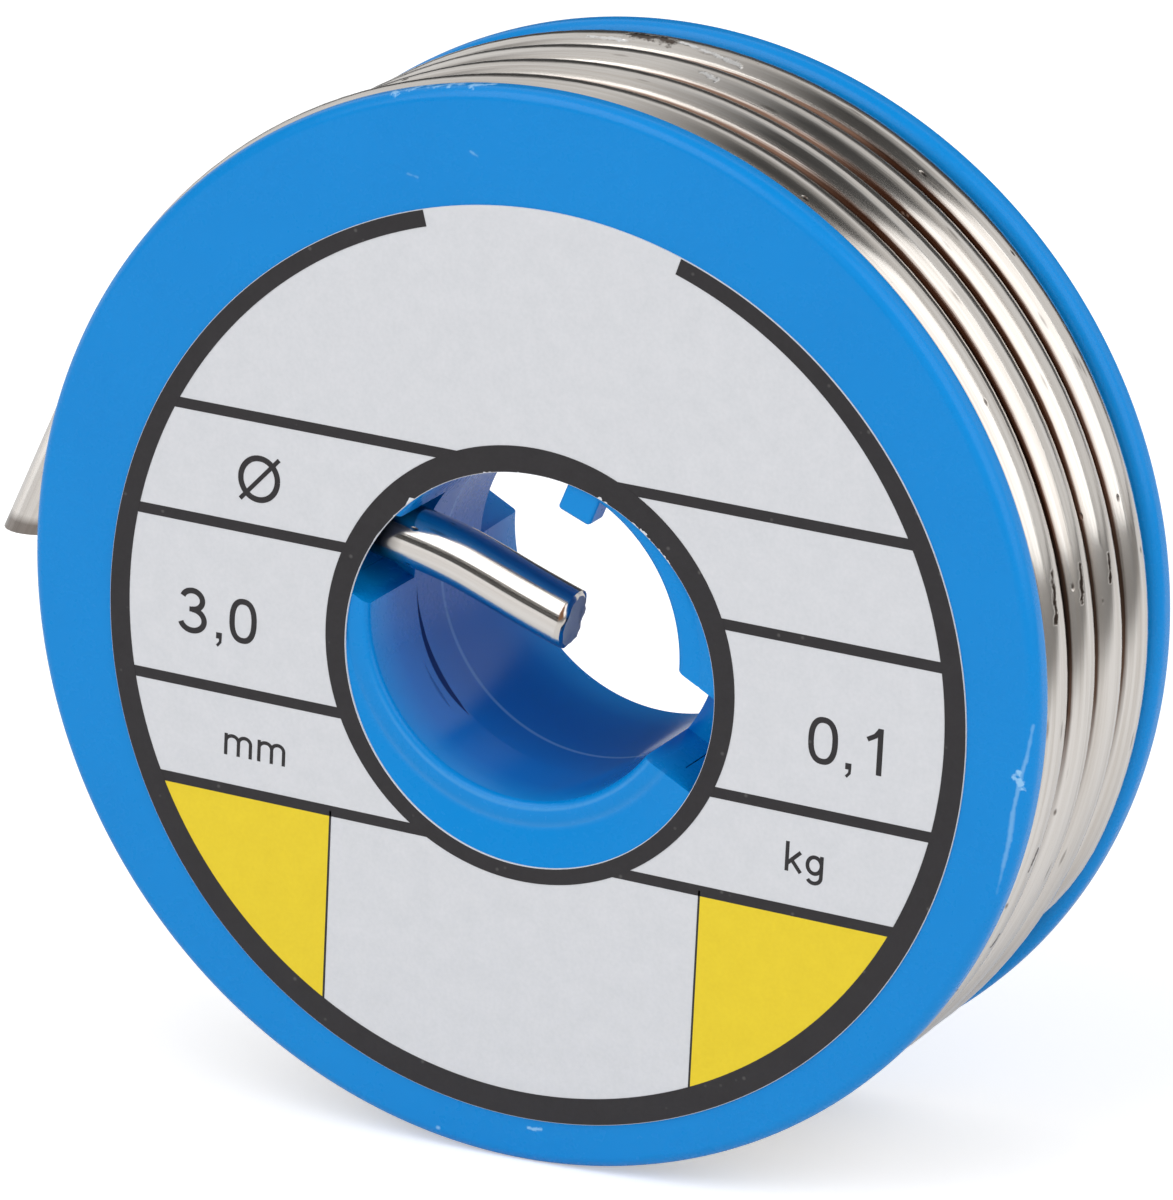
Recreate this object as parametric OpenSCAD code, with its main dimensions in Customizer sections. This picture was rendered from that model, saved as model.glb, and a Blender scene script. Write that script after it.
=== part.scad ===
// Small spool of thick solder wire, standing upright on its rims.
// The spool is two moulded halves: the front half's sleeve plugs into the rear half's barrel.
// The wire starts in the bore, passes out through a slot in the hub, fills the barrel in
// layers and ends in a tail that has sprung off beside the front rim.
// Shapes are drawn as seen from the front, with the spool's axis along Z and the front
// towards +Z. They are then turned upright, which lays the axis along Y, front towards -Y.

/* [Spool] */
// Outside diameter of both flanges
flange_d = 50; // [46:0.5:60]
// Thickness of each flange
flange_t = 1.6; // [1.3:0.1:2.4]
// Radius that rounds the rim of each flange
rim_round = 0.6; // [0.2:0.05:0.6]
// Diameter of the bore through the rear half
bore_d = 16; // [14:0.5:17]
// Bevel round both mouths of the bore
mouth_bevel = 0.2; // [0.1:0.05:0.8]

/* [Hub joint] */
// Length of the front half's sleeve, measured from the front face
sleeve_len = 5; // [4.8:0.1:7]
// How far the inside of the sleeve stands in from the main bore
sleeve_step = 0.3; // [0.1:0.05:0.8]
// Wall of the sleeve
sleeve_wall = 1.5; // [0.8:0.1:2]
// Radial play between the sleeve and its seat in the barrel
sleeve_play = 0.05; // [0.02:0.01:0.15]

/* [Wire slots] */
// How much wider than the wire the slots in the hub are
slot_room = 1.5; // [1.4:0.1:2.2]
// Depth of a front slot past the wire that lies in it
slot_floor_gap = 0.7; // [0.1:0.05:0.9]
// Depth of the slots in the rear face
rear_slot_depth = 3.9; // [3.4:0.1:4.4]
// Direction in which the slots run
slot_angle = -30; // [-34:0.5:-26]
// Distance of a slot's middle line from the spool's axis
slot_offset = 1.2; // [1.1:0.05:1.4]

/* [Gate tab] */
// Width of the tab that the moulding gate left in the front mouth
tab_w = 1.7; // [0.8:0.1:3]
// How far the tab stands into the bore
tab_h = 1.25; // [0.5:0.05:2]
// Thickness of the tab along the axis
tab_t = 1.5; // [0.6:0.1:2]
// Place of the tab round the bore
tab_angle = 66.5; // [45:0.5:80]

/* [Wire] */
// Diameter of the solder wire
wire_d = 3; // [2.7:0.1:3.1]
// Number of layers on the barrel
layers = 4; // [3:1:4]
// Turns side by side in a layer
turns_across = 4; // [3:1:6]
// How far each layer sinks into the grooves of the one beneath
layer_sink = 0.1; // [0:0.05:0.4]
// Room beside a full layer of turns
side_play = 0.3; // [0.3:0.05:0.8]
// How far the outer layer's crown stays below the rims
crown_drop = 0.1; // [0.05:0.05:0.6]
// Gap between the flats of neighbouring turns of the outer layer
turn_gap = 0.55; // [0.5:0.05:0.8]

/* [Wire ends] */
// Where the wire has climbed onto the outer layer, beside the rear flange
climb_angle = -24; // [-40:1:0]
// Stretch of the turn over which it climbs
climb_span = 51; // [45:1:70]
// Where the tail leaves the winding, in the front turn
tail_angle = 154.5; // [140:0.5:160]
// How far the tail has sprung out from the winding there
tail_lift = 0.8; // [0.2:0.1:1]
// Height of the tail's cut end above the spool's axis
tail_end_h = 0.75; // [-4:0.25:4]
// Distance of the wire's start from the front face to its middle
start_depth = 2.4; // [2:0.1:2.6]
// Direction in which the start runs through the slot
start_slot_angle = -15; // [-17:0.5:-14]
// Direction in which it then crosses the bore
start_angle = -20.5; // [-23:0.5:-20]
// Distance of that crossing from the spool's axis
start_offset = 1.1; // [0.9:0.05:1.15]
// Place of the bend, ahead of the middle of the bore
start_bend = 4.7; // [4.5:0.1:5.3]
// Reach of the cut start past the middle of the bore
start_reach = 1.2; // [-2:0.1:3]

/* [Label] */
// Outside diameter of the ring label on the front
label_d = 42.6; // [38:0.2:43]
// Diameter of its hole
label_hole_d = 18.2; // [17.6:0.1:20]
// Thickness of the label
label_t = 0.12; // [0.08:0.01:0.3]
// How far the label sits below the spool's axis
label_drop = 1.5; // [0:0.1:2]
// How far it sits to the right of the axis
label_shift = 0.4; // [-0.4:0.1:0.4]

/* [Hidden] */
round_fn = 96;
over = 1;

// Colours
PLASTIC = [0.12, 0.5, 0.86];
PAPER = [0.84, 0.85, 0.86];
SOLDER = [0.8, 0.79, 0.77];

// Spool
flange_r = flange_d / 2;
bore_r = bore_d / 2;
wire_r = wire_d / 2;
winding_w = turns_across * wire_d + side_play;
inner_face = winding_w / 2;
half_w = inner_face + flange_t;
layer_step = wire_d - layer_sink;
crown_r = flange_r - crown_drop;
barrel_r = crown_r - wire_d - (layers - 1) * layer_step;

// Hub joint
sleeve_bore_r = bore_r - sleeve_step;
sleeve_r = sleeve_bore_r + sleeve_wall;
seat_r = sleeve_r + sleeve_play;
sleeve_end = half_w - sleeve_len;

// Slots
slot_w = wire_d + slot_room;
slot_depth = start_depth + wire_r + slot_floor_gap;

// Outer layer: a six-sided tube, corners at its crown and foot, flats between its turns
RINGS_PER_TURN = 24;
TUBE_SIDES = 6;
ring_step = 360 / RINGS_PER_TURN;
turn_pitch = (winding_w - wire_d) / (turns_across - 1);
tube_r = min(wire_r, (turn_pitch - turn_gap) / 2 / cos(180 / TUBE_SIDES));
first_turn_z = wire_r - inner_face;
outer_r = crown_r - tube_r;
under_r = outer_r - layer_step;
// The foot of a straight stretch between two rings dips below the rings' own feet
chord_dip = cos(ring_step / 2);
core_r = (outer_r - tube_r) * chord_dip;
climb_floor_r = (under_r - tube_r) * chord_dip;
climb_start = climb_angle - climb_span;
// Angle that the straight first stretch of the climbing wire takes up
straight_span = atan(2 * tube_r / under_r);
// Stretch of the last turn over which the tail springs out
lift_span = 60;
last_angle = tail_angle + 360 * (turns_across - 1);
// Part of each turn that runs side by side before it steps across by one pitch
parallel_span = tail_angle - climb_angle;

// Start of the wire
start_z = half_w - start_depth;
bend_point = start_offset * left_of(start_angle) - start_bend * unit(start_angle);

function unit(a) = [cos(a), sin(a)];
function left_of(a) = [-sin(a), cos(a)];
function at(p, z) = [p[0], p[1], z];
function ease(t) = let (c = max(0, min(1, t))) c * c * (3 - 2 * c);
function arc(centre, r, from, to, steps = 6) =
    [for (i = [0:steps]) centre + r * unit(from + (to - from) * i / steps)];

// Radius of the outer layer's middle line at an angle along the wire
function layer_radius(a) =
    let (climb = (a - climb_start - straight_span) / (climb_span - straight_span),
         lift = (a - last_angle + lift_span) / lift_span)
    under_r + layer_step * ease(climb) + tail_lift * ease(lift);

// Height of that line: each turn runs side by side with the last, then steps across
function layer_z(a) =
    let (run = max(0, a - climb_angle), turn = floor(run / 360),
         step = (run - 360 * turn - parallel_span) / (360 - parallel_span))
    first_turn_z + turn_pitch * (turn + ease(step));

// One ring of the tube: its middle and the angle of the plane through the axis that it lies in
function ring_at(a) = [at(layer_radius(a) * unit(a), layer_z(a)), a];
// The same ring moved straight along the wire
function moved(ring, d) = [ring[0] + at(d * left_of(ring[1]), 0), ring[1]];
function ring_corners(ring) =
    [for (k = [0:TUBE_SIDES - 1])
        let (c = unit(k * 360 / TUBE_SIDES))
        ring[0] + tube_r * at(c[0] * unit(ring[1]), c[1])];

layer_start = ring_at(climb_start);
layer_end = ring_at(last_angle);
outer_layer_rings = concat(
    [layer_start, moved(layer_start, 2 * tube_r)],
    [for (a = [climb_start + ring_step : ring_step : last_angle - ring_step / 4]) ring_at(a)],
    [layer_end, moved(layer_end, 2 * tube_r)]);
outer_layer_corners = [for (ring = outer_layer_rings) ring_corners(ring)];

// Least gap of the tube to itself, measured between the corners of rings about a turn apart
ring_count = len(outer_layer_rings);
layer_gaps = [for (i = [0:ring_count - 1])
    for (j = [i + RINGS_PER_TURN - 2 : min(i + RINGS_PER_TURN + 2, ring_count - 1)])
        for (p = outer_layer_corners[i]) min([for (q = outer_layer_corners[j]) norm(p - q)])];
echo(least_gap_of_outer_layer = min(layer_gaps));

// Turns a shape drawn from the front upright, so that its axis lies along Y
module upright() {
    rotate([90, 0, 0]) children();
}

// Closed tube through rings that each have the same number of corners
module tube(corners) {
    rings = len(corners);
    sides = len(corners[0]);
    points = [for (ring = corners) for (p = ring) p];
    walls = [for (i = [0:rings - 2])
        for (k = [0:sides - 1])
            let (a = i * sides + k, b = i * sides + (k + 1) % sides)
            each [[a, a + sides, b + sides], [a, b + sides, b]]];
    first_cap = [for (k = [1:sides - 2]) [0, k, k + 1]];
    base = (rings - 1) * sides;
    last_cap = [for (k = [1:sides - 2]) [base, base + k + 1, base + k]];
    polyhedron(points, concat(walls, first_cap, last_cap), convexity = 8);
}

// Straight round wire in the plane of one turn, from a point along a direction
module wire_run(from, direction, z, length) {
    translate(at(from, z))
        rotate([0, 0, direction])
            rotate([0, 90, 0])
                cylinder(r = wire_r, h = length, $fn = round_fn);
}

// The two slots of one flange, cut from its outer face towards the middle of the spool
module slot_pair(depth) {
    for (turn = [0, 180]) {
        rotate([0, 0, slot_angle + turn])
            translate([0, slot_offset, half_w - depth])
                linear_extrude(depth + over) {
                    translate([0, -slot_w / 2])
                        square([barrel_r, slot_w]);
                    translate([barrel_r, 0])
                        circle(d = slot_w, $fn = round_fn);
                }
    }
}

// Flange with its rounded rim, and sleeve, drawn as one turned outline
module front_half_body() {
    rotate_extrude($fn = round_fn)
        polygon(concat(
            [[sleeve_bore_r, sleeve_end], [sleeve_r, sleeve_end], [sleeve_r, inner_face]],
            arc([flange_r - rim_round, inner_face + rim_round], rim_round, -90, 0),
            arc([flange_r - rim_round, half_w - rim_round], rim_round, 0, 90),
            [[sleeve_bore_r + mouth_bevel, half_w], [sleeve_bore_r, half_w - mouth_bevel]]));
}

module gate_tab() {
    root = mouth_bevel + 0.3;
    rotate([0, 0, tab_angle])
        translate([sleeve_bore_r - tab_h, -tab_w / 2, half_w - tab_t])
            cube([tab_h + root, tab_w, tab_t]);
}

module front_half() {
    color(PLASTIC)
        upright() {
            difference() {
                front_half_body();
                slot_pair(slot_depth);
            }
            gate_tab();
        }
}

// Barrel, seat for the sleeve and flange, drawn as one turned outline
module rear_half_body() {
    rotate_extrude($fn = round_fn)
        polygon(concat(
            [[bore_r, -half_w + mouth_bevel], [bore_r + mouth_bevel, -half_w]],
            arc([flange_r - rim_round, -half_w + rim_round], rim_round, -90, 0),
            arc([flange_r - rim_round, -inner_face - rim_round], rim_round, 0, 90),
            [[barrel_r, -inner_face], [barrel_r, inner_face], [seat_r, inner_face],
             [seat_r, sleeve_end], [bore_r, sleeve_end]]));
}

module rear_half() {
    color(PLASTIC)
        upright()
            difference() {
                rear_half_body();
                slot_pair(slot_depth);
                mirror([0, 0, 1]) slot_pair(rear_slot_depth);
            }
}

module label() {
    color(PAPER)
        upright()
            translate([label_shift, -label_drop, half_w])
                difference() {
                    cylinder(d = label_d, h = label_t, $fn = round_fn);
                    translate([0, 0, -over])
                        cylinder(d = label_hole_d, h = label_t + 2 * over, $fn = round_fn);
                }
}

// Pocket beside the rear flange in which the wire climbs onto the outer layer
module climb_pocket() {
    width = first_turn_z + wire_r + turn_pitch - wire_d + inner_face;
    rotate([0, 0, climb_start])
        rotate_extrude(angle = climb_span + ring_step / 2, $fn = round_fn)
            translate([climb_floor_r, -inner_face - over])
                square([layer_step + over, width + over]);
}

// All layers under the outer one, as a plain core that fills the barrel's width
module wire_inner_layers() {
    color(SOLDER)
        upright()
            difference() {
                translate([0, 0, -inner_face])
                    cylinder(r = core_r, h = winding_w, $fn = round_fn);
                translate([0, 0, -inner_face - over])
                    cylinder(r = barrel_r, h = winding_w + 2 * over, $fn = round_fn);
                climb_pocket();
            }
}

module wire_outer_layer() {
    color(SOLDER)
        upright()
            tube(outer_layer_corners);
}

// Straight end that has sprung off, cut level
module wire_tail() {
    from = layer_end[0] + at(2 * tube_r * left_of(tail_angle), 0);
    color(SOLDER)
        upright()
            difference() {
                wire_run(from, last_angle + 90, from[2], flange_r);
                translate([-2 * flange_r, tail_end_h - 2 * flange_r, -flange_r])
                    cube(2 * flange_r);
            }
}

// Start of the wire: out of the innermost layer, through a slot and part way across the bore
module wire_start() {
    mitre = (start_slot_angle + start_angle) / 2;
    side = 2 * flange_r;
    color(SOLDER)
        upright()
            intersection() {
                union() {
                    difference() {
                        wire_run(bend_point - side / 2 * unit(start_slot_angle), start_slot_angle,
                                 start_z, side);
                        translate(at(bend_point, 0))
                            rotate([0, 0, mitre])
                                translate([0, -side / 2, -side / 2]) cube(side);
                    }
                    difference() {
                        wire_run(bend_point - wire_d * unit(start_angle), start_angle,
                                 start_z, wire_d + start_bend + start_reach);
                        translate(at(bend_point, 0))
                            rotate([0, 0, mitre])
                                translate([-side, -side / 2, -side / 2]) cube(side);
                    }
                }
                cylinder(r = barrel_r, h = flange_d, center = true, $fn = round_fn);
            }
}

front_half();
rear_half();
label();
wire_inner_layers();
wire_outer_layer();
wire_tail();
wire_start();
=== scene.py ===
"""Small two-part spool full of thick solder wire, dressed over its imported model.

Shapes are drawn in millimetres as seen from the front: x to the right, y up and z towards
the front, with the spool's axis along z. `world` turns a drawn point into the shared frame.
"""

import logging
import math
from collections.abc import Callable, Iterable, Sequence
from dataclasses import dataclass, field
from enum import Enum
from functools import reduce

import bmesh
import bpy
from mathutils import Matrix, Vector, noise

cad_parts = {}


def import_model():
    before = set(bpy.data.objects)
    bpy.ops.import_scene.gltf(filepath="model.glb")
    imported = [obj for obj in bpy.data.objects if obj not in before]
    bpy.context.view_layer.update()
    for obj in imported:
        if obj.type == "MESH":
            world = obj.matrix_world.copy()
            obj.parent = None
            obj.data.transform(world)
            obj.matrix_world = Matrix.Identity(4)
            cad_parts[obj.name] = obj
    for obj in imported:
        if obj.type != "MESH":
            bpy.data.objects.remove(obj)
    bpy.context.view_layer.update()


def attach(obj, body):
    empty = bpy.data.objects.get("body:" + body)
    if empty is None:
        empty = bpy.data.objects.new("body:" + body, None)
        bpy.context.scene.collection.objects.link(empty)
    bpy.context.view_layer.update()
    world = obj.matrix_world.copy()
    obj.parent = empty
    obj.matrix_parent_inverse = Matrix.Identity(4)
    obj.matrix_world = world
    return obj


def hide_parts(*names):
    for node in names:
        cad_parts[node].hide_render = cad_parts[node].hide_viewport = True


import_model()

LOG = logging.getLogger("solder_spool")
MM = 0.001
BODY = "root"

Point2 = tuple[float, float]
Point3 = tuple[float, float, float]
Colour = tuple[float, float, float, float]
BMesh = bmesh.types.BMesh
Mesh = bpy.types.Mesh
Node = bpy.types.Node
Tree = bpy.types.NodeTree
Material = bpy.types.Material
Piece = bpy.types.Object
# how softened edges are rounded: in how many steps, and above which angle in degrees
SOFT_STEPS = 3
SOFT_ABOVE = 40.0

ORIGIN: Point3 = (0.0, 0.0, 0.0)
WHITE: Colour = (1.0, 1.0, 1.0, 1.0)


# ---- drawing

def world(x: float, y: float, z: float) -> Vector:
    """Turn a drawn point into the shared frame, with the axis along Y and the front at -Y."""
    return Vector((x, -z, y)) * MM


AXIS = world(0.0, 0.0, 1.0).normalized()


def unit(angle: float) -> Point2:
    """Return the unit vector at an angle in degrees, counter-clockwise from the right."""
    return math.cos(math.radians(angle)), math.sin(math.radians(angle))


def spun(angle: float, x: float, y: float) -> Point2:
    """Return a flat point turned round the middle by an angle in degrees."""
    c, s = unit(angle)
    return x * c - y * s, x * s + y * c


def ease(t: float) -> float:
    """Return a smooth step from 0 to 1 while t goes from 0 to 1."""
    t = max(0.0, min(1.0, t))
    return t * t * (3.0 - 2.0 * t)


def srgb(red: int, green: int, blue: int) -> Colour:
    """Return the linear colour of three display values from 0 to 255.

    Args:
        red: Red.
        green: Green.
        blue: Blue.

    Returns:
        The colour, with alpha 1.
    """
    def linear(value: int) -> float:
        """Return the linear value of one display value."""
        share = value / 255.0
        return share / 12.92 if share <= 0.04045 else ((share + 0.055) / 1.055) ** 2.4
    return linear(red), linear(green), linear(blue), 1.0


def fillet(centre: Point2, radius: float, start: float, end: float,
           steps: int = 8) -> list[Point2]:
    """Return points along an arc between two angles in degrees, both ends included."""
    turns = (unit(start + (end - start) * i / steps) for i in range(steps + 1))
    return [(centre[0] + radius * c, centre[1] + radius * s) for c, s in turns]


# ---- meshes

def finished_mesh(bm: BMesh, sharp: float = 32.0) -> Mesh:
    """Close a bmesh into a mesh with smooth faces and sharp edges above an angle.

    Args:
        bm: The built faces; it is freed here.
        sharp: Angle between faces above which their edge stays sharp, in degrees.

    Returns:
        The finished mesh.
    """
    bmesh.ops.recalc_face_normals(bm, faces=bm.faces)
    mesh = bpy.data.meshes.new("mesh")
    bm.to_mesh(mesh)
    bm.free()
    mesh.shade_smooth()
    mesh.set_sharp_from_angle(angle=math.radians(sharp))
    return mesh


def join(whole: BMesh, part: BMesh) -> None:
    """Add one set of faces to another and drop it.

    Args:
        whole: The faces that grow.
        part: The faces that are added, freed here.
    """
    mesh = bpy.data.meshes.new("part")
    part.to_mesh(mesh)
    part.free()
    whole.from_mesh(mesh)
    bpy.data.meshes.remove(mesh)


def turned(outline: Sequence[Point2], segments: int) -> BMesh:
    """Turn a closed outline of (radius, z) in mm round the spool's axis.

    Args:
        outline: Corners of the closed outline.
        segments: Steps of the turn.

    Returns:
        The faces.
    """
    bm = bmesh.new()
    rings = []
    for i in range(segments):
        c, s = unit(360.0 * i / segments)
        rings.append([bm.verts.new(world(r * c, r * s, z)) for r, z in outline])
    for i, ring in enumerate(rings):
        after = rings[(i + 1) % segments]
        for k in range(len(outline)):
            m = (k + 1) % len(outline)
            bm.faces.new((ring[k], ring[m], after[m], after[k]))
    return bm


def prism(outline: Sequence[Point2], low: float, high: float) -> BMesh:
    """Build a straight solid from its (x, y) corners, between two z in mm.

    Args:
        outline: Corners.
        low: Lower z.
        high: Upper z.

    Returns:
        The faces.
    """
    bm = bmesh.new()
    rear, front = ([bm.verts.new(world(x, y, z)) for x, y in outline] for z in (low, high))
    bm.faces.new(front)
    bm.faces.new(rear[::-1])
    for k in range(len(outline)):
        m = (k + 1) % len(outline)
        bm.faces.new((rear[k], rear[m], front[m], front[k]))
    return bm


def linked(name: str, data: bpy.types.ID) -> Piece:
    """Put a mesh, a lamp or a camera into the scene.

    Args:
        name: Name of the object.
        data: What it shows.

    Returns:
        The object.
    """
    piece = bpy.data.objects.new(name, data)
    bpy.context.scene.collection.objects.link(piece)
    return piece


def aimed(name: str, data: bpy.types.ID, place: Point3, aim: Point3) -> Piece:
    """Put a lamp or a camera into the scene and point it at a spot.

    Args:
        name: Name of the object.
        data: The lamp or camera.
        place: Where it stands, in metres.
        aim: What it looks at, in metres.

    Returns:
        The object.
    """
    piece = linked(name, data)
    piece.location = place
    piece.rotation_euler = (Vector(aim) - Vector(place)).to_track_quat("-Z", "Y").to_euler()
    return piece


def carved(solid: BMesh, cutters: Iterable[BMesh], edge: float) -> Mesh:
    """Cut shapes out of a solid and soften the edges that are left sharp.

    Args:
        solid: The solid to cut.
        cutters: The shapes to take away.
        edge: Width of the softened edges, in mm.

    Returns:
        The carved mesh.
    """
    block = linked("block", finished_mesh(solid))
    tools = [linked("cutter", finished_mesh(cutter)) for cutter in cutters]
    for tool in tools:
        cut = block.modifiers.new("cut", "BOOLEAN")
        cut.operation, cut.solver, cut.object = "DIFFERENCE", "EXACT", tool
    soften = block.modifiers.new("soften", "BEVEL")
    soften.width, soften.segments = edge * MM, SOFT_STEPS
    soften.limit_method, soften.angle_limit = "ANGLE", math.radians(SOFT_ABOVE)
    soften.use_clamp_overlap = soften.harden_normals = True
    graph = bpy.context.evaluated_depsgraph_get()
    mesh = bpy.data.meshes.new_from_object(block.evaluated_get(graph))
    for spent in (block, *tools):
        bpy.data.objects.remove(spent)
    return mesh


@dataclass
class Section:
    """One ring of a wire: its middle, the direction away from the axis and its place along it."""

    middle: Vector
    outward: Vector
    along: float


def swept(sections: Sequence[Section], radius: float, sides: int, caps: bool = False) -> BMesh:
    """Build a wire through sections, with its length and girth as texture coordinates.

    Args:
        sections: The rings in order.
        radius: Radius of the wire, in mm.
        sides: Number of sides of the wire.
        caps: Whether the ends are closed.

    Returns:
        The wire.
    """
    bm = bmesh.new()
    uv = bm.loops.layers.uv.new("length_and_girth")
    # the seam of the texture lies on the side that faces the axis
    spokes = [unit(180.0 + 360.0 * k / sides) for k in range(sides)]
    rings = [[bm.verts.new(s.middle + s.outward * (c * radius * MM) + AXIS * (q * radius * MM))
              for c, q in spokes] for s in sections]
    girth = [2.0 * math.pi * radius * k / sides for k in range(sides + 1)]
    for i in range(len(sections) - 1):
        for k in range(sides):
            m = (k + 1) % sides
            face = bm.faces.new((rings[i][k], rings[i + 1][k], rings[i + 1][m], rings[i][m]))
            corners = ((i, k), (i + 1, k), (i + 1, k + 1), (i, k + 1))
            for loop, (ring, place) in zip(face.loops, corners):
                loop[uv].uv = (sections[ring].along, girth[place])
    if caps:
        bm.faces.new(rings[0][::-1])
        bm.faces.new(rings[-1])
    return bm


# ---- node graphs

def reckoned(operation: str) -> Callable[..., "Signal"]:
    """Return a method of `Signal` that places one Math node.

    Args:
        operation: The node's operation.

    Returns:
        The method.
    """
    def method(signal: "Signal", *others: object) -> "Signal":
        """Reckon with the signal and the other values."""
        return signal.graph.maths(operation, signal, *others)
    return method


class Signal:
    """A node's output, which can be reckoned with like a number."""

    __add__ = reckoned("ADD")
    __sub__ = reckoned("SUBTRACT")
    __mul__ = reckoned("MULTIPLY")
    __truediv__ = reckoned("DIVIDE")
    __lt__ = reckoned("LESS_THAN")
    __abs__ = reckoned("ABSOLUTE")
    most = reckoned("MAXIMUM")

    def __init__(self, graph: "Graph", socket: bpy.types.NodeSocket) -> None:
        """Keep the output together with its graph."""
        self.graph = graph
        self.socket = socket

    def ramp(self, low: object, high: object, to_low: object = 0.0,
             to_high: object = 1.0) -> "Signal":
        """Stretch from one range to another, held at both ends."""
        limits = dict(enumerate((self, low, high, to_low, to_high)))
        return self.graph.add("ShaderNodeMapRange", limits)

    def zone(self, low: float, high: float, to_low: float = 0.0, to_high: float = 1.0) -> "Signal":
        """Stretch a place in metres from a range in mm, held at both ends."""
        return self.ramp(low * MM, high * MM, to_low, to_high)


class Graph:
    """Short way to place and link the nodes of one node tree."""

    def __init__(self, tree: Tree) -> None:
        """Take the tree that the nodes go into."""
        self.tree = tree

    def fill(self, node: Node, inputs: dict[str | int, object]) -> None:
        """Set a node's inputs to values, or link signals to them.

        Args:
            node: The node.
            inputs: Values or signals by the input's name.
        """
        for key, value in inputs.items():
            if isinstance(value, Signal):
                self.tree.links.new(value.socket, node.inputs[key])
            else:
                node.inputs[key].default_value = value

    def add(self, kind: str, inputs: dict[str | int, object] | None = None,
            output: str | int = 0, **settings: object) -> Signal:
        """Place a node.

        Args:
            kind: Blender's name of the node type.
            inputs: Sockets by name or number, with a value or a signal.
            output: The wanted output, by name or number.
            settings: Properties of the node.

        Returns:
            The wanted output.
        """
        node = self.tree.nodes.new(kind)
        for name, value in settings.items():
            setattr(node, name, value)
        self.fill(node, inputs or {})
        return Signal(self, node.outputs[output])

    def maths(self, operation: str, *values: object) -> Signal:
        """Reckon with one or two values."""
        return self.add("ShaderNodeMath", dict(enumerate(values)), operation=operation)

    def mix(self, share: object, first: object, second: object) -> Signal:
        """Mix two values by a share."""
        return self.add("ShaderNodeMix", {0: share, 2: first, 3: second})

    def blend(self, share: object, first: object, second: object) -> Signal:
        """Mix two colours by a share."""
        return self.add("ShaderNodeMix", {0: share, 6: first, 7: second}, 2, data_type="RGBA")

    def split(self, vector: Signal) -> list[Signal]:
        """Take a vector apart."""
        node = self.add("ShaderNodeSeparateXYZ", {0: vector}).socket.node
        return [Signal(self, socket) for socket in node.outputs]

    def spot(self, kind: str = "Object") -> Signal:
        """Return where the surface is, or the direction that is looked in."""
        return self.add("ShaderNodeTexCoord", output=kind)

    def span(self, across: Signal, above: Signal) -> Signal:
        """Return the distance from the middle of two places across it."""
        return self.maths("SQRT", across * across + above * above)

    def noise(self, where: Signal, scale: object, detail: float, roughness: float = 0.5) -> Signal:
        """Place a noise texture."""
        return self.add("ShaderNodeTexNoise", {"Vector": where, "Scale": scale, "Detail": detail,
                                               "Roughness": roughness}, "Fac")

    def ray(self, kind: str) -> Signal:
        """Return 1 for rays of one kind."""
        return self.add("ShaderNodeLightPath", output=f"Is {kind} Ray")

    def bump(self, height: Signal, strength: float, distance: float) -> Signal:
        """Turn a height into a normal."""
        return self.add("ShaderNodeBump",
                        {"Height": height, "Strength": strength, "Distance": distance})

    def group(self, tree: Tree, where: Signal, **inputs: object) -> Signal:
        """Place a node group, with its other inputs in lower case and with underscores."""
        names = {key.replace("_", " ").title(): value for key, value in inputs.items()}
        return self.add("ShaderNodeGroup", {"Vector": where, **names}, node_tree=tree)


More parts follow.
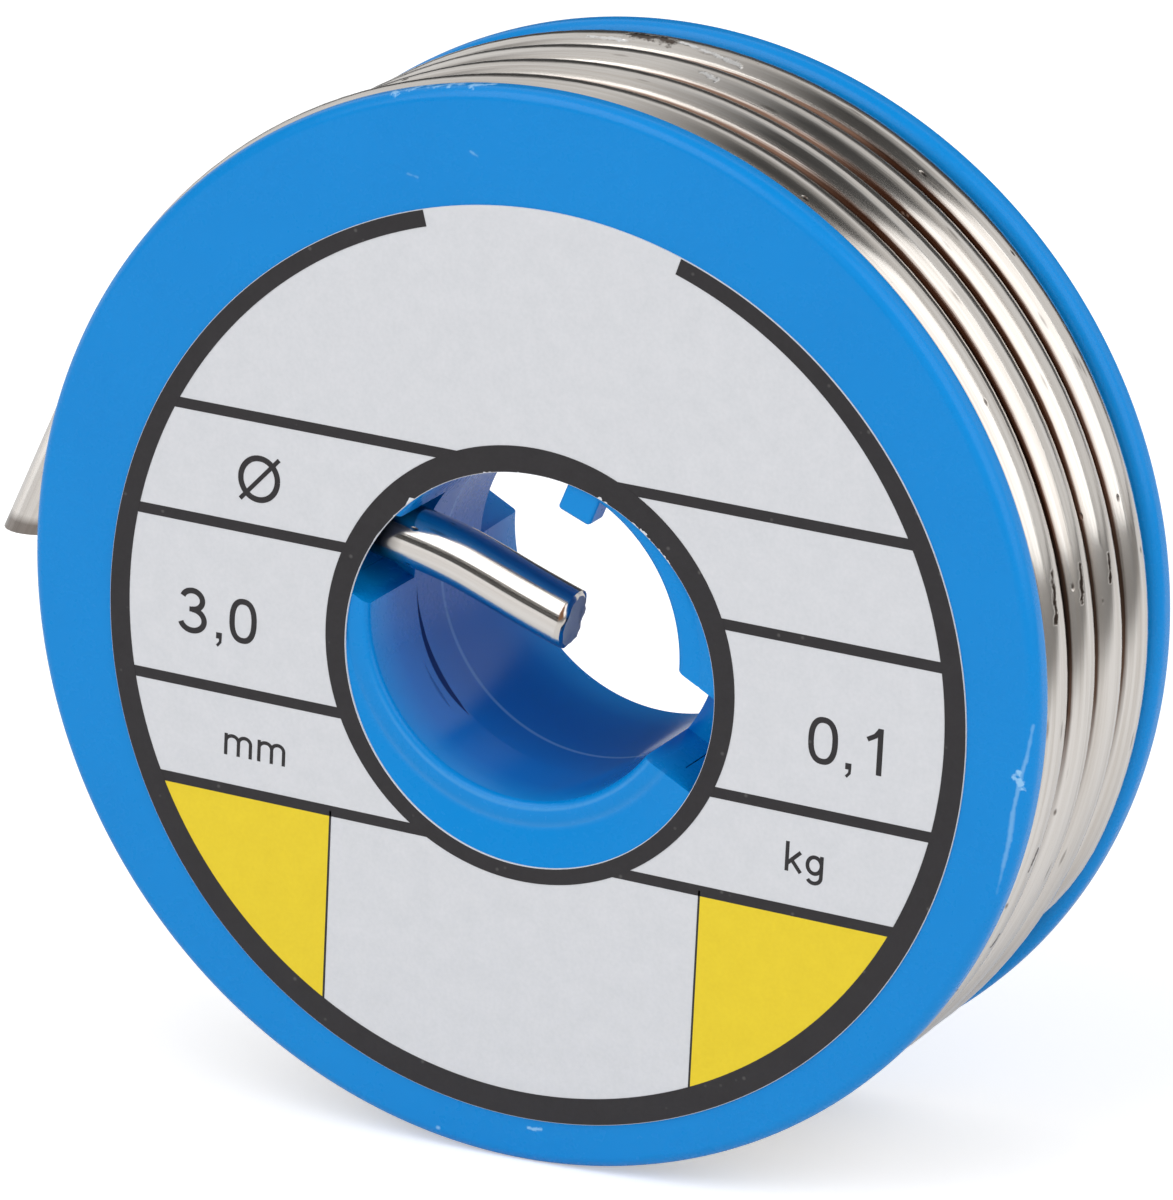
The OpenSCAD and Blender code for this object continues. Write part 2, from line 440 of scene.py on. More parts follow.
@dataclass
class Effects:
    """The node groups that more than one finish uses."""

    mottle: Tree = field(init=False)
    scuff: Tree = field(init=False)
    specks: Tree = field(init=False)

    def __post_init__(self) -> None:
        """Build each group once."""
        self.mottle, self.scuff, self.specks = self._mottle(), self._scuff(), self._specks()

    @staticmethod
    def _start(name: str, output: str, **inputs: object) -> tuple[Graph, list[Signal], Node]:
        """Make an empty group with one output.

        Args:
            name: Name of the group.
            output: Name of its output.
            inputs: First values of its inputs, named in lower case and with underscores.

        Returns:
            The group's graph, its inputs and its output node.
        """
        tree = bpy.data.node_groups.new(name, "ShaderNodeTree")
        for key, value in inputs.items():
            kind = "NodeSocketFloat" if isinstance(value, float) else "NodeSocketVector"
            tree.interface.new_socket(name=key.replace("_", " ").title(), in_out="INPUT",
                                      socket_type=kind).default_value = value
        tree.interface.new_socket(name=output, in_out="OUTPUT", socket_type="NodeSocketFloat")
        graph = Graph(tree)
        given = tree.nodes.new("NodeGroupInput").outputs
        signals = [Signal(graph, given[i]) for i in range(len(inputs))]
        return graph, signals, tree.nodes.new("NodeGroupOutput")

    def _mottle(self) -> Tree:
        """Build soft cloudy variation between two values, with a fine grain on top.

        Returns:
            The group.
        """
        graph, (where, scale, grain_scale, grain, low, high), out = self._start(
            "surface_mottle", "Value", vector=ORIGIN, scale=400.0, grain_scale=4000.0, grain=0.5,
            low=0.0, high=1.0)
        clouds, grains = graph.noise(where, scale, 3.0), graph.noise(where, grain_scale, 1.0)
        graph.fill(out, {0: graph.mix(grain, clouds, grains).ramp(0.3, 0.7, low, high)})
        return graph.tree

    def _scuff(self) -> Tree:
        """Build a ragged mark along a straight line between two points.

        Returns:
            The group.
        """
        graph, (where, start, end, width, raggedness, scale), out = self._start(
            "scuff_mark", "Mask", vector=ORIGIN, start=ORIGIN, end=(0.0, 0.0, MM), width=0.0002,
            raggedness=0.5, noise_scale=2600.0)

        def vector(operation: str, inputs: dict[int, object], output: int = 0) -> Signal:
            """Reckon with vectors."""
            return graph.add("ShaderNodeVectorMath", inputs, output, operation=operation)

        reach = vector("SUBTRACT", {0: end, 1: start})
        here = vector("SUBTRACT", {0: where, 1: start})
        share = vector("DOT_PRODUCT", {0: here, 1: reach}, 1) / vector(
            "DOT_PRODUCT", {0: reach, 1: reach}, 1)
        nearest = vector("SCALE", {0: reach, 3: graph.add("ShaderNodeClamp", {0: share})})
        distance = vector("DISTANCE", {0: here, 1: nearest}, 1)
        swing = raggedness * (graph.noise(where, scale, 4.0, 0.65) - 0.5)
        graph.fill(out, {0: (distance / width + swing * 4.0).ramp(1.0, 0.35)})
        return graph.tree

    def _specks(self) -> Tree:
        """Build small scattered specks, such as pits or dust.

        Returns:
            The group.
        """
        graph, (where, scale, size, share), out = self._start(
            "scattered_specks", "Mask", vector=ORIGIN, scale=500.0, size=0.15, share=0.1)
        cells = graph.add("ShaderNodeTexVoronoi", {"Vector": where, "Scale": scale}, "Distance")
        tint = Signal(graph, cells.socket.node.outputs["Color"])
        chosen = graph.add("ShaderNodeSeparateColor", {0: tint}) < share
        graph.fill(out, {0: cells.ramp(size, size * 0.4) * chosen})
        return graph.tree


# ---- finishes

def new_material(name: str) -> tuple[Material, Graph, Node]:
    """Return a new material, its graph and its Principled node.

    Args:
        name: Name of the material.

    Returns:
        The material, its graph and its Principled node.
    """
    material = bpy.data.materials.new(name)
    material.use_nodes = True
    return material, Graph(material.node_tree), material.node_tree.nodes["Principled BSDF"]


@dataclass(frozen=True)
class Mark:
    """A scuff on the plastic, or a stretch of the painted highlight along its front rim, from one
    drawn point to another.
    """

    start: Point3
    end: Point3
    width: float
    ragged: float = 0.5
    strength: float = 0.75


@dataclass(frozen=True)
class Slit:
    """A gap in the bore's wall, painted as a dark line of shade: its place along the axis, its
    angles, its width and the strength of its painted shade.
    """

    y: float
    start: float
    end: float
    width: float
    shade: float = 1.0


@dataclass(frozen=True)
class MouldedPlastic:
    """Blue moulded plastic, half glossy, with a faint skin, a few scuffs and painted shade and
    highlights.
    """

    name: str = "blue_moulded_plastic"
    colour: Colour = (0.0, 0.242, 0.660, 1.0)
    deep_colour: Colour = (0.0, 0.232, 0.640, 1.0)
    bore_painted_shade: Colour = (0.0, 0.165, 0.57, 1.0)
    slit_shade_colour: Colour = (0.0, 0.028, 0.15, 1.0)
    scuff_and_highlight_colour: Colour = srgb(150, 200, 240)
    bore_r: float = 8.3
    bore_edge: float = 0.4
    # distance from the middle plane, in mm, where the bore's painted shade starts and is full
    bore_depth: Point2 = (7.7, 5.2)
    polished_z: Point2 = (-2.0, -5.0)
    # the pale line where the core pins met is a painted highlight on the bore's wall
    pin_line_y: float = -0.22
    pin_line_half: Point2 = (0.17, 0.05)
    pin_line_weight: float = 0.42
    # middle and half width in mm, and weight, of the painted highlights round the mouth: on its
    # edge and on the insert's ring
    mouth_highlight_rings: tuple[Point3, ...] = ((8.0, 0.12, 0.16), (8.78, 0.22, 0.07))
    slits: tuple[Slit, ...] = (Slit(-2.9, 178.0, 229.0, 0.60), Slit(-3.7, 203.0, 224.0, 0.24, 0.4))
    gloss: float = 0.12
    roughness: float = 0.27
    reflection: float = 0.28
    marks: tuple[Mark, ...] = ()

    def _bore(self, graph: Graph, where: Signal, colour: Signal) -> tuple[Signal, Signal, Signal]:
        """Paint shade into the bore, its gaps as painted shade, and a painted highlight where the
        core pins met.

        Args:
            graph: The material's graph.
            where: The point on the piece.
            colour: The colour outside.

        Returns:
            The colour with the bore's painted shade and highlights, and masks of its polished
            lower wall and of its gaps.
        """
        x, y, z = graph.split(where)
        radius = graph.span(x, z)
        inside = radius.zone(self.bore_r, self.bore_r - self.bore_edge)
        inside = inside * abs(y).zone(*self.bore_depth)
        # painted shade: the colour darkens deeper in the bore
        colour = graph.blend(inside, colour, self.bore_painted_shade)
        # painted highlight along the line where the core pins met
        line = abs(y - self.pin_line_y * MM).zone(*self.pin_line_half)
        line = line * (inside * self.pin_line_weight)
        # the painted highlights round the mouth show only on the lower part of the front face
        low = z.zone(-2.0, -6.5) * y.zone(-7.3, -7.6)
        for middle, half, weight in self.mouth_highlight_rings:
            line = line.most(abs(radius - middle * MM).zone(half, 0.2 * half) * (low * weight))
        colour = graph.blend(line, colour, self.scuff_and_highlight_colour)
        angle = graph.maths("ARCTAN2", z * -1.0, x * -1.0)
        shades = []
        # each gap is painted as a dark lens of shade, not cut
        for slit in self.slits:
            share = angle.ramp(math.radians(slit.start - 180.0), math.radians(slit.end - 180.0))
            swell = graph.maths("SINE", graph.maths("POWER", share, 1.5) * math.pi)
            off = abs(y - slit.y * MM) / (swell * (0.5 * slit.width * MM) + 0.00001 * MM)
            shades.append(off.ramp(1.15, 0.7, 0.0, slit.shade) * inside)
            colour = graph.blend(shades[-1], colour, self.slit_shade_colour)
        return colour, inside * z.zone(*self.polished_z), reduce(Signal.most, shades)

    def build(self, effects: Effects) -> Material:
        """Build the material.

        Args:
            effects: The shared node groups.

        Returns:
            The material.
        """
        material, graph, shader = new_material(self.name)
        where = graph.spot()
        tone = graph.group(effects.mottle, where, scale=160.0, grain_scale=1500.0, grain=0.15)
        colour = graph.blend(tone, self.deep_colour, self.colour)
        colour, polished, gaps = self._bore(graph, where, colour)
        wear_and_highlight = graph.group(effects.specks, where, scale=520.0, size=0.07, share=0.03) * 0.25
        # the marks are scuffs, and the chain along the front rim is a painted highlight
        for mark in self.marks:
            scuff = graph.group(effects.scuff, where, start=world(*mark.start),
                                end=world(*mark.end), width=mark.width * MM,
                                raggedness=mark.ragged)
            wear_and_highlight = wear_and_highlight.most(scuff * mark.strength)
        rough = graph.group(effects.mottle, where, scale=300.0, grain_scale=3000.0, grain=0.4,
                            low=self.roughness - 0.04, high=self.roughness + 0.05)
        skin, sink = graph.noise(where, 2200.0, 2.0), graph.noise(where, 130.0, 1.0)
        graph.fill(shader, {
            "Base Color": graph.blend(wear_and_highlight, colour, self.scuff_and_highlight_colour),
            "Roughness": graph.mix(polished, rough, self.gloss) + gaps * 0.6 + wear_and_highlight * 0.3,
            "Normal": graph.bump(skin * 0.05 + (sink + wear_and_highlight * 0.4), 0.2, 0.04 * MM),
            "IOR": 1.46, "Specular IOR Level": self.reflection})
        return material


@dataclass(frozen=True)
class Nick:
    """A torn spot on the wire, or a painted glint, given by its length along the wire and its
    girth, in mm.
    """

    start: Point2
    end: Point2
    width: float
    bright: bool = False


@dataclass(frozen=True)
class DrawnTin:
    """Bright tin wire with drawing lines along it, faint dents, small pits and painted shade in
    its valleys.
    """

    name: str = "drawn_tin"
    colour: Colour = (0.80, 0.765, 0.725, 1.0)
    dull_colour: Colour = (0.66, 0.615, 0.565, 1.0)
    pit_and_shade_colour: Colour = (0.10, 0.075, 0.06, 1.0)
    flux_and_shade_colour: Colour = (0.11, 0.066, 0.047, 1.0)
    torn_and_glint_colour: Colour = (0.95, 0.94, 0.93, 1.0)
    painted_shade_colour: Colour = (0.018, 0.013, 0.012, 1.0)
    cut_and_reflection_colour: Colour = (0.24, 0.28, 0.37, 1.0)
    roughness: float = 0.13
    girth: float = 9.36
    # shares of the girth where the brown band of flux and painted shade, and the painted valley
    # shade, start and are full
    flux_and_shade_side: Point2 = (0.622, 0.640)
    front_side: Point2 = (0.650, 0.663)
    rear_side: Point2 = (0.36, 0.31)
    valleys: bool = True
    # places along the wire, in mm: where the painted valley shade ends, the tail's cut, and the
    # painted shade in the slot
    valleys_end: float = 505.0
    cut_at: float = 511.0
    # width of the painted shade along the tail's cut edge
    cut_shade_width: float = 0.06
    shaded_to: float = 0.0
    shade_span: float = 1.1
    nicks: tuple[Nick, ...] = ()

    def _side(self, place: Signal, shares: Point2) -> Signal:
        """Return a mask of one side of the wire."""
        return place.ramp(shares[0] * self.girth, shares[1] * self.girth)

    def _valleys(self, graph: Graph, length: Signal, place: Signal, colour: Signal) -> Signal:
        """Paint shade onto the sides that press on the neighbouring turns, beside a brown band of
        flux and painted shade.

        Args:
            graph: The material's graph.
            length: The place along the wire.
            place: The place round the wire.
            colour: The clean colour.

        Returns:
            The colour with its painted valley shade.
        """
        x, _, z = graph.split(graph.spot())
        # the painted valley shade is fainter towards the bottom and towards the left
        valley_shade_fade = z.zone(-6.5, -1.5, 0.25, 1.0) * x.zone(-7.0, -2.0, 0.3, 1.0)
        wound = valley_shade_fade * length.ramp(self.valleys_end, self.valleys_end - 2.0)
        # a brown band of flux and painted shade, then the painted shade of the valley itself
        colour = graph.blend(self._side(place, self.flux_and_shade_side) * wound, colour, self.flux_and_shade_colour)
        deep = self._side(place, self.front_side).most(self._side(place, self.rear_side))
        return graph.blend(deep * wound, colour, self.painted_shade_colour)

    def build(self, effects: Effects) -> Material:
        """Build the material.

        Args:
            effects: The shared node groups.

        Returns:
            The material.
        """
        material, graph, shader = new_material(self.name)
        along = graph.add("ShaderNodeUVMap", uv_map="length_and_girth")
        length, place, _ = graph.split(along)

        def scaled(by_length: float, by_girth: float) -> Signal:
            """Return the place on the wire, with a scale of its own each way."""
            scale = (by_length, by_girth, 1.0)
            return graph.add("ShaderNodeMapping", {"Vector": along, "Scale": scale})

        lines = graph.noise(scaled(0.05, 3.2), 1.0, 4.0, 0.6)
        waves = graph.noise(scaled(0.07, 0.42), 1.0, 2.0)
        pits = graph.group(effects.specks, scaled(0.8, 1.7), scale=1.0, size=0.17, share=0.10)
        ticks = graph.group(effects.specks, scaled(0.42, 2.6), scale=1.0, size=0.24, share=0.16)
        colour = graph.blend(lines.ramp(0.35, 0.62), self.dull_colour, self.colour)
        if self.valleys:
            colour = self._valleys(graph, length, place + (lines - 0.5) * 0.5, colour)
        # painted shade along the tail's cut edge, in the same dark colour as the pits
        edge = length.ramp(self.cut_at - self.cut_shade_width, self.cut_at, 0.0, 0.75)
        for share in (pits * 0.8, ticks * 0.5, edge):
            colour = graph.blend(share, colour, self.pit_and_shade_colour)
        # painted shade where the wire lies in the slot
        if self.shaded_to > 0.0:
            shade = length.ramp(self.shaded_to, self.shaded_to - self.shade_span, 0.0, 0.94)
            colour = graph.blend(shade, colour, self.painted_shade_colour)
        # the cut faces are the only ones without a place on the wire
        cut = abs(length) + place < 0.001
        # the cut faces get a dull colour with a painted blue-grey reflection in it
        colour = graph.blend(cut, colour, self.cut_and_reflection_colour)
        torn = pits
        for nick in self.nicks:
            mask = graph.group(effects.scuff, along, start=(*nick.start, 0.0),
                               end=(*nick.end, 0.0), width=nick.width, raggedness=0.9,
                               noise_scale=2.4)
            shown = self.torn_and_glint_colour if nick.bright else self.pit_and_shade_colour
            colour = graph.blend(mask, colour, shown)
            torn = torn.most(mask)
        graph.fill(shader, {
            "Base Color": colour,
            "Metallic": graph.maths("SUBTRACT", 1.0, cut),
            "Roughness": lines.ramp(0.3, 0.7, self.roughness + 0.1, self.roughness) + cut * 0.4,
            "Normal": graph.bump(lines * 0.22 + (waves - torn * 0.3), 0.5, 0.1 * MM)})
        return material


@dataclass(frozen=True)
class LabelPaper:
    """Coated label paper or a flat area of ink on it."""

    name: str
    colour: Colour
    shade: Colour
    speckle: float = 0.0
    # radius and middle of the label's hole, in mm, where its edge is worn
    worn_edge: Point3 = ORIGIN
    roughness: float = 0.5
    dot_colour: Colour = srgb(140, 138, 135)
    fibre_colour: Colour = srgb(214, 216, 220)

    def _fibres(self, graph: Graph, where: Signal, colour: Signal) -> Signal:
        """Bare white fibres along the upper edge of the label's hole.

        Args:
            graph: The material's graph.
            where: Place on the label.
            colour: Colour of the paper.

        Returns:
            The colour with the fibres.
        """
        hole_r, centre_x, centre_y = self.worn_edge
        x, _, z = graph.split(where)
        above = z - centre_y * MM
        radius = graph.span(x - centre_x * MM, above)
        reach = graph.noise(where, 1500.0, 3.0).ramp(0.56, 0.74) * (0.24 * MM)
        near = radius - hole_r * MM < reach * above.zone(4.0, 8.0)
        return graph.blend(near, colour, self.fibre_colour)

    def build(self, effects: Effects) -> Material:
        """Build the material.

        Args:
            effects: The shared node groups.

        Returns:
            The material.
        """
        material, graph, shader = new_material(self.name)
        where = graph.spot()
        tone = graph.group(effects.mottle, where, scale=900.0, grain_scale=5200.0, grain=0.45)
        colour = graph.blend(tone, self.shade, self.colour)
        if self.speckle > 0.0:
            dots = graph.group(effects.specks, where, scale=2600.0, size=0.3, share=self.speckle)
            colour = graph.blend(dots * 0.22, colour, self.dot_colour)
        if self.worn_edge[0] > 0.0:
            colour = self._fibres(graph, where, colour)
        rough = graph.group(effects.mottle, where, scale=700.0, grain_scale=4000.0, grain=0.5,
                            low=self.roughness - 0.05, high=self.roughness + 0.06)
        graph.fill(shader, {
            "Base Color": colour,
            "Roughness": rough,
            "Normal": graph.bump(graph.noise(where, 5200.0, 2.0), 0.12, 0.03 * MM)})
        return material


class Finish(Enum):
    """The finishes that the pieces are dressed with."""

    PLASTIC = "plastic"
    TIN = "tin"
    TIN_END = "tin_end"
    PAPER = "paper"
    BLACK_INK = "black_ink"
    YELLOW_INK = "yellow_ink"


@dataclass
class Wardrobe:
    """Holds the built materials and dresses pieces with them."""

    effects: Effects
    marks: tuple[Mark, ...]
    nicks: tuple[Nick, ...]
    materials: dict[Finish, Material] = field(init=False)

    def __post_init__(self) -> None:
        """Build every finish once."""
        builders = {
            Finish.PLASTIC: MouldedPlastic(marks=self.marks),
            Finish.TIN: DrawnTin(nicks=self.nicks),
            Finish.TIN_END: DrawnTin("drawn_tin_end", valleys=False, shaded_to=5.95),
            Finish.PAPER: LabelPaper(
                "label_paper", srgb(215, 216, 220), srgb(207, 209, 213)),
            Finish.BLACK_INK: LabelPaper(
                "label_black_ink", srgb(38, 35, 38), srgb(31, 28, 31), 0.05, (9.21, 0.4, -1.52)),
            Finish.YELLOW_INK: LabelPaper(
                "label_yellow_ink", srgb(234, 207, 30), srgb(228, 200, 24)),
        }
        self.materials = {finish: made.build(self.effects) for finish, made in builders.items()}

    def dress(self, name: str, mesh: Mesh, finish: Finish, slot: str, *stands_for: str) -> None:
        """Make a piece of a mesh and give it its material, its body and what it stands for.

        Args:
            name: Name of the piece.
            mesh: Its mesh.
            finish: Its finish.
            slot: The record's material slot; it is not used.
            stands_for: Names of the solids that it replaces.
        """
        piece = linked(name, mesh)
        mesh.name = name
        mesh.materials.clear()
        mesh.materials.append(self.materials[finish])
        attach(piece, BODY)
        if stands_for:
            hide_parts(*stands_for)
        LOG.info("%s: %d faces, %s", name, len(mesh.polygons), finish.value)


# ---- the spool's two halves

@dataclass
class Mouldings:
    """The two plugged mouldings of the spool."""

    flange_r: float = 25.0
    flange_t: float = 1.6
    half_w: float = 7.75
    rim_round: float = 0.6
    bore_r: float = 8.0
    sleeve_bore_r: float = 7.7
    sleeve_r: float = 9.2
    seat_r: float = 9.25
    sleeve_end: float = 2.75
    seat_play: float = 0.03
    barrel_r: float = 13.2
    rear_joint_r: float = 7.76
    mouth_bevel: float = 0.2
    front_mouth_round: float = 0.38
    # radii and depth of the faint ring that the mould's insert leaves round the mouth
    insert_ring: tuple[float, float, float, float] = (8.92, 8.86, 8.78, 8.72)
    insert_depth: float = 0.03
    slot_w: float = 4.5
    slot_depth: float = 4.6
    rear_slot_depth: float = 3.9
    slot_angle: float = -30.0
    slot_offset: float = 1.2
    tab_angle: float = 66.5
    tab_w: float = 1.7
    tab_h: float = 1.25
    tab_t: float = 1.5
    tab_root: float = 0.7
    front_edge: float = 0.24
    rear_edge: float = 0.14
    tab_edge: float = 0.18
    segments: int = 288

    @property
    def inner_face(self) -> float:
        """Distance of a flange's inner face from the middle plane, in mm."""
        return self.half_w - self.flange_t

    def _slot_cutters(self, front: bool) -> list[BMesh]:
        """Build the two slot shapes of the front or the rear end.

        Args:
            front: Whether the front end's are built.

        Returns:
            One set of faces for each slot.
        """
        low, high = self.half_w - self.slot_depth, self.half_w + 1.0
        if not front:
            low, high = -high, self.rear_slot_depth - self.half_w
        half = self.slot_w / 2
        flat = [(0.0, -half), (self.barrel_r, -half)]
        flat += fillet((self.barrel_r, 0.0), half, -80.0, 80.0, 16)
        flat += [(self.barrel_r, half), (0.0, half)]
        return [prism([spun(self.slot_angle + turn, x, y + self.slot_offset) for x, y in flat],
                      low, high) for turn in (0.0, 180.0)]

    def _rim(self, outer: float, inner: float) -> list[Point2]:
        """Return the rounded rim between a flange's inner and outer faces.

        Args:
            outer: The outer face's z.
            inner: The inner face's z.

        Returns:
            Points as (radius, z).
        """
        sign = 1.0 if outer > inner else -1.0
        middle = self.flange_r - self.rim_round
        first = fillet((middle, inner + sign * self.rim_round), self.rim_round, -90 * sign, 0)
        second = fillet((middle, outer - sign * self.rim_round), self.rim_round, 0, 90 * sign)
        return first + second

    def front_mesh(self) -> Mesh:
        """Build the labelled flange with its sleeve, slots and gate tab.

        Returns:
            The mesh.
        """
        face, bore, bevel = self.half_w, self.sleeve_bore_r, self.front_mouth_round
        depths = (0.0, self.insert_depth, self.insert_depth, 0.0)
        outline = [(self.sleeve_r, self.sleeve_end), (self.sleeve_r, self.inner_face)]
        outline += self._rim(face, self.inner_face)
        outline += [(radius, face - depth) for radius, depth in zip(self.insert_ring, depths)]
        outline += fillet((bore + bevel, face - bevel), bevel, 90, 180)
        outline += [(bore, face - 1.5), (bore, self.sleeve_end + 0.3), (bore, self.sleeve_end)]
        mesh = carved(turned(outline, self.segments), self._slot_cutters(True), self.front_edge)
        joined = bmesh.new()
        for part in (mesh, self._tab_mesh()):
            joined.from_mesh(part)
        joined.to_mesh(mesh)
        joined.free()
        return mesh

    def _tab_mesh(self) -> Mesh:
        """Build the tab that the moulding gate left in the front mouth.

        Returns:
            The mesh.
        """
        inner, outer = self.sleeve_bore_r - self.tab_h, self.sleeve_bore_r + self.tab_root
        half = self.tab_w / 2
        corners = ((inner, -half), (outer, -half), (outer, half), (inner, half))
        outline = [spun(self.tab_angle, x, y) for x, y in corners]
        solid = prism(outline, self.half_w - self.tab_t, self.half_w - self.insert_depth)
        return carved(solid, [], self.tab_edge)

    def rear_mesh(self) -> Mesh:
        """Build the other flange with the barrel, the sleeve's seat and its slots.

        Returns:
            The mesh.
        """
        face, bore, bevel = -self.half_w, self.bore_r, self.mouth_bevel
        seat = self.sleeve_end - self.seat_play
        outline = fillet((bore + bevel, face + bevel), bevel, 180, 270, 6)
        outline += self._rim(face, -self.inner_face)[::-1]
        outline += [(self.barrel_r, -self.inner_face), (self.barrel_r, self.inner_face),
                    (self.seat_r, self.inner_face), (self.seat_r, seat), (self.rear_joint_r, seat)]
        cutters = self._slot_cutters(True) + self._slot_cutters(False)
        return carved(turned(outline, self.segments), cutters, self.rear_edge)

    def build(self, wardrobe: Wardrobe) -> None:
        """Build and dress both halves."""
        for side, mesh in (("front_half", self.front_mesh()), ("rear_half", self.rear_mesh())):
            wardrobe.dress(f"spool_{side}", mesh, Finish.PLASTIC, "spool_plastic", side)


# ---- the wire

@dataclass
class Winding:
    """The solder wire on the barrel, with its tail."""

    wire_r: float = 1.49
    crown_r: float = 24.95
    layer_step: float = 2.9
    pitch: float = 3.04
    turns: int = 4
    first_z: float = -4.62
    climb_angle: float = -24.0
    climb_span: float = 51.0
    tail_angle: float = 154.5
    tail_lift: float = 0.8
    tail_steps: tuple[float, ...] = (0.6, 1.4, 2.4, 3.6, 4.8, 5.6)
    tail_end_h: float = 0.75
    tail_spacing: float = 0.9
    lift_span: float = 60.0
    climb_delay: float = 6.0
    under_delay: float = 150.0
    drift_spans: Point2 = (47.0, 13.0)
    drift_across: float = 0.035
    drift_out: float = 0.03
    barrel_r: float = 13.22
    barrel_half_w: float = 6.13
    core_r: float = 19.3
    core_shade: Point2 = (100.0, 8.0)
    step_deg: float = 2.5
    inner_steps: int = 120
    core_steps: int = 144
    sides: int = 28
    sharp: float = 45.0

    @property
    def outer_r(self) -> float:
        """Radius of the outer layer's middle line, in mm."""
        return self.crown_r - self.wire_r

    @property
    def under_r(self) -> float:
        """Radius of the middle line of the layer beneath, in mm."""
        return self.outer_r - self.layer_step

    @property
    def climb_start(self) -> float:
        """Angle at which the wire leaves the layer beneath, in degrees."""
        return self.climb_angle - self.climb_span

    @property
    def last_angle(self) -> float:
        """Angle at which the tail leaves the winding, counted along the wire, in degrees."""
        return self.tail_angle + 360.0 * (self.turns - 1)

    def wander(self, angle: float, seed: float) -> float:
        """Return a small smooth drift along the wire, from -1 to 1.

        Args:
            angle: Angle along the wire, in degrees.
            seed: Number that tells one drift from another.

        Returns:
            The drift.
        """
        slow, quick = self.drift_spans
        return noise.noise(Vector((angle / slow, seed, 0.5))) + 0.4 * noise.noise(
            Vector((angle / quick, seed + 7.0, 1.5)))

    def radius(self, angle: float) -> float:
        """Return the distance of the outer layer's middle line from the axis, in mm.

        Args:
            angle: Angle along the wire, in degrees.

        Returns:
            The distance.
        """
        begun = angle - self.climb_start - self.climb_delay
        climb = begun / (self.climb_span - self.climb_delay)
        lift = (angle - self.last_angle + self.lift_span) / self.lift_span
        return self.under_r + self.layer_step * ease(climb) + self.tail_lift * ease(lift)

    def shelf(self, run: float) -> float:
        """Return how many pitches a winding has moved across after a run of degrees.

        Args:
            run: Degrees wound since the first turn began.

        Returns:
            The pitches, with a soft step once in each turn.
        """
        run = max(0.0, run)
        turn = math.floor(run / 360.0)
        parallel = self.tail_angle - self.climb_angle
        return turn + ease((run - 360.0 * turn - parallel) / (360.0 - parallel))

    def ring(self, angle: float, radius: float, z: float, length_r: float) -> Section:
        """Return the wire's section at an angle, with its length counted at a radius.

        Args:
            angle: Angle along the wire, in degrees.
            radius: The middle line's distance from the axis.
            z: Its z.
            length_r: Radius at which the length is counted.

        Returns:
            The section.
        """
        c, s = unit(angle)
        return Section(world(radius * c, radius * s, z), world(c, s, 0.0).normalized(),
                       math.radians(angle) * length_r)

    def outer_sections(self) -> list[Section]:
        """Return the sections of the outer layer and of the tail that springs off it.

        Returns:
            The sections, from the climb to the tail's end.
        """
        sections = []
        count = int((self.last_angle - self.climb_start) / self.step_deg)
        for i in range(count + 1):
            angle = self.climb_start + (self.last_angle - self.climb_start) * i / count
            z = self.first_z + self.pitch * self.shelf(angle - self.climb_angle)
            z += self.drift_across * self.wander(angle, 3.0)
            drift = self.drift_out * self.wander(angle, 11.0)
            radius = self.radius(angle) + drift - self.drift_out
            sections.append(self.ring(angle, radius, z, self.outer_r))
        last = sections[-1]
        ahead = world(*unit(self.tail_angle + 90.0), 0.0).normalized()
        return sections + [
            Section(last.middle + ahead * (length * MM), last.outward, last.along + length)
            for length in self.tail_steps]

    def outer_mesh(self) -> Mesh:
        """Build the layer that shows, from its climb to the cut tail.

        Returns:
            The mesh.
        """
        sections = self.outer_sections()
        bm = swept(sections, self.wire_r, self.sides)
        verts = list(bm.verts)
        rings = [verts[i * self.sides:(i + 1) * self.sides] for i in range(len(sections))]
        ahead = (sections[-1].middle - sections[-2].middle).normalized()
        # slide the last rings along the tail until they end in a level cut
        for back, ring in enumerate(rings[-1:-4:-1]):
            for vert in ring:
                to_cut = (self.tail_end_h * MM - vert.co.z) / ahead.z
                to_cut -= self.tail_spacing * back * MM
                if back == 0 or to_cut < 0.0:
                    vert.co += ahead * to_cut
        cap = bm.faces.new(rings[-1])
        bmesh.ops.inset_individual(bm, faces=[cap], thickness=0.12 * MM, depth=0.05 * MM)
        bm.faces.new(rings[0][::-1])
        return finished_mesh(bm, self.sharp)

    def under_sections(self) -> list[Section]:
        """Return the sections of the layer beneath, which is wound back to the rear.

        Returns:
            The sections, in the order of winding.
        """
        sections = []
        start = self.climb_start - 360.0 * self.turns
        count = int(360.0 * self.turns / (2 * self.step_deg))
        for i in range(count + 1):
            angle = start + 360.0 * self.turns * i / count
            moved = self.shelf(self.climb_start - angle - self.under_delay)
            z = self.first_z + self.pitch * min(self.turns - 1.0, moved)
            sections.append(self.ring(angle, self.under_r, z, self.under_r))
        return sections

    def core_mesh(self) -> Mesh:
        """Build the layer beneath and the turns that show through the slots, round a core painted
        in shade.

        Returns:
            The mesh.
        """
        sides, half = self.sides // 2, self.barrel_half_w - self.wire_r
        first_r = self.barrel_r + self.wire_r
        bm = swept(self.under_sections(), self.wire_r, sides, caps=True)
        for radius in (first_r, (first_r + self.under_r) / 2):
            for z in (-half, half):
                turn = [self.ring(360.0 * i / self.inner_steps, radius, z, radius)
                        for i in range(self.inner_steps + 1)]
                join(bm, swept(turn, self.wire_r, sides))
        wound = len(bm.faces)
        outline = [(self.barrel_r, -half), (self.core_r, -half), (self.core_r, half),
                   (self.barrel_r, half)]
        join(bm, turned(outline, self.core_steps))
